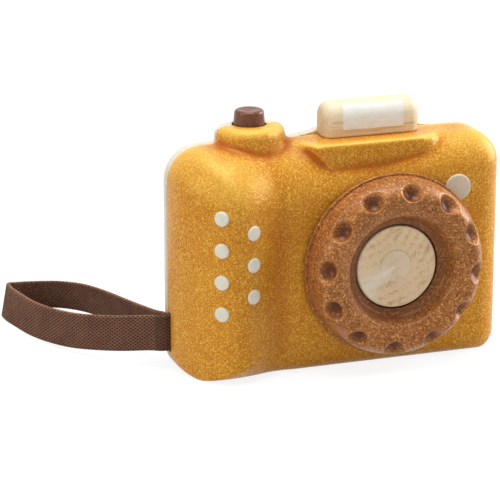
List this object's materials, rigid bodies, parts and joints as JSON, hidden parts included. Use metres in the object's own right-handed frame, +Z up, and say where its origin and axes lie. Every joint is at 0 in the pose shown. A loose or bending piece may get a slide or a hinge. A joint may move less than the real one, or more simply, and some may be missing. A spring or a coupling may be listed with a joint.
{
  "type": "toy camera",
  "caption": "Toy camera of moulded wood: rounded two-part body with grip, turning dimpled lens ring, sprung shutter button, flash block and woven wrist strap.",
  "frame": {"origin": "middle of the camera's footprint on the surface that it stands on, measured without the strap", "axes": "+Z up, the lens looks along -Y, +X to the right of someone facing the lens"},
  "size_m": [0.1644, 0.1166, 0.0943],
  "materials": {
    "yellow_composite": "satin dyed wood composite with fine chips",
    "cream_composite": "satin dyed wood composite with fine chips",
    "brown_composite": "satin dyed wood composite with fine chips",
    "pale_wood": "fine sanded bare wood",
    "white_paint": "matt white paint on wood",
    "grey_paint": "matt warm grey paint on wood",
    "felt": "pressed felt",
    "spring_steel": "bright drawn wire",
    "woven_tape": "brown woven tape"
  },
  "bodies": {
    "camera_body": {"front_shell": "yellow_composite", "rear_shell": "cream_composite", "shell_dowels": "pale_wood", "grip_dot_1": "white_paint", "grip_dot_2": "white_paint", "grip_dot_3": "white_paint", "grip_dot_4": "white_paint", "grip_dot_5": "white_paint", "grip_dot_6": "white_paint", "grip_dot_7": "white_paint", "window_disc": "grey_paint", "flash_block": "pale_wood", "flash_panel": "white_paint", "flash_dowels": "pale_wood", "button_guide": "pale_wood", "button_spring": "spring_steel", "spring_seat": "pale_wood", "lens_peg": "pale_wood", "friction_washer": "felt", "strap_pin": "pale_wood", "wrist_strap": "woven_tape", "eyepiece": "brown_composite", "eyepiece_disc": "grey_paint"},
    "ring": {"lens_ring": "brown_composite"},
    "button": {"shutter_button": "brown_composite"}
  },
  "joints": [
    {"name": "lens_turn", "type": "hinge", "parent": "camera_body", "child": "ring", "pos_m": [0.0165, -0.0165, 0.0378], "axis": [0, -1, 0], "continuous": true},
    {"name": "shutter_press", "type": "slide", "parent": "camera_body", "child": "button", "axis": [0, 0, -1], "range_m": [0, 0.003], "stiffness_N_per_m": 300, "springref_m": -0.002, "deforming": ["button_spring"]}
  ]
}
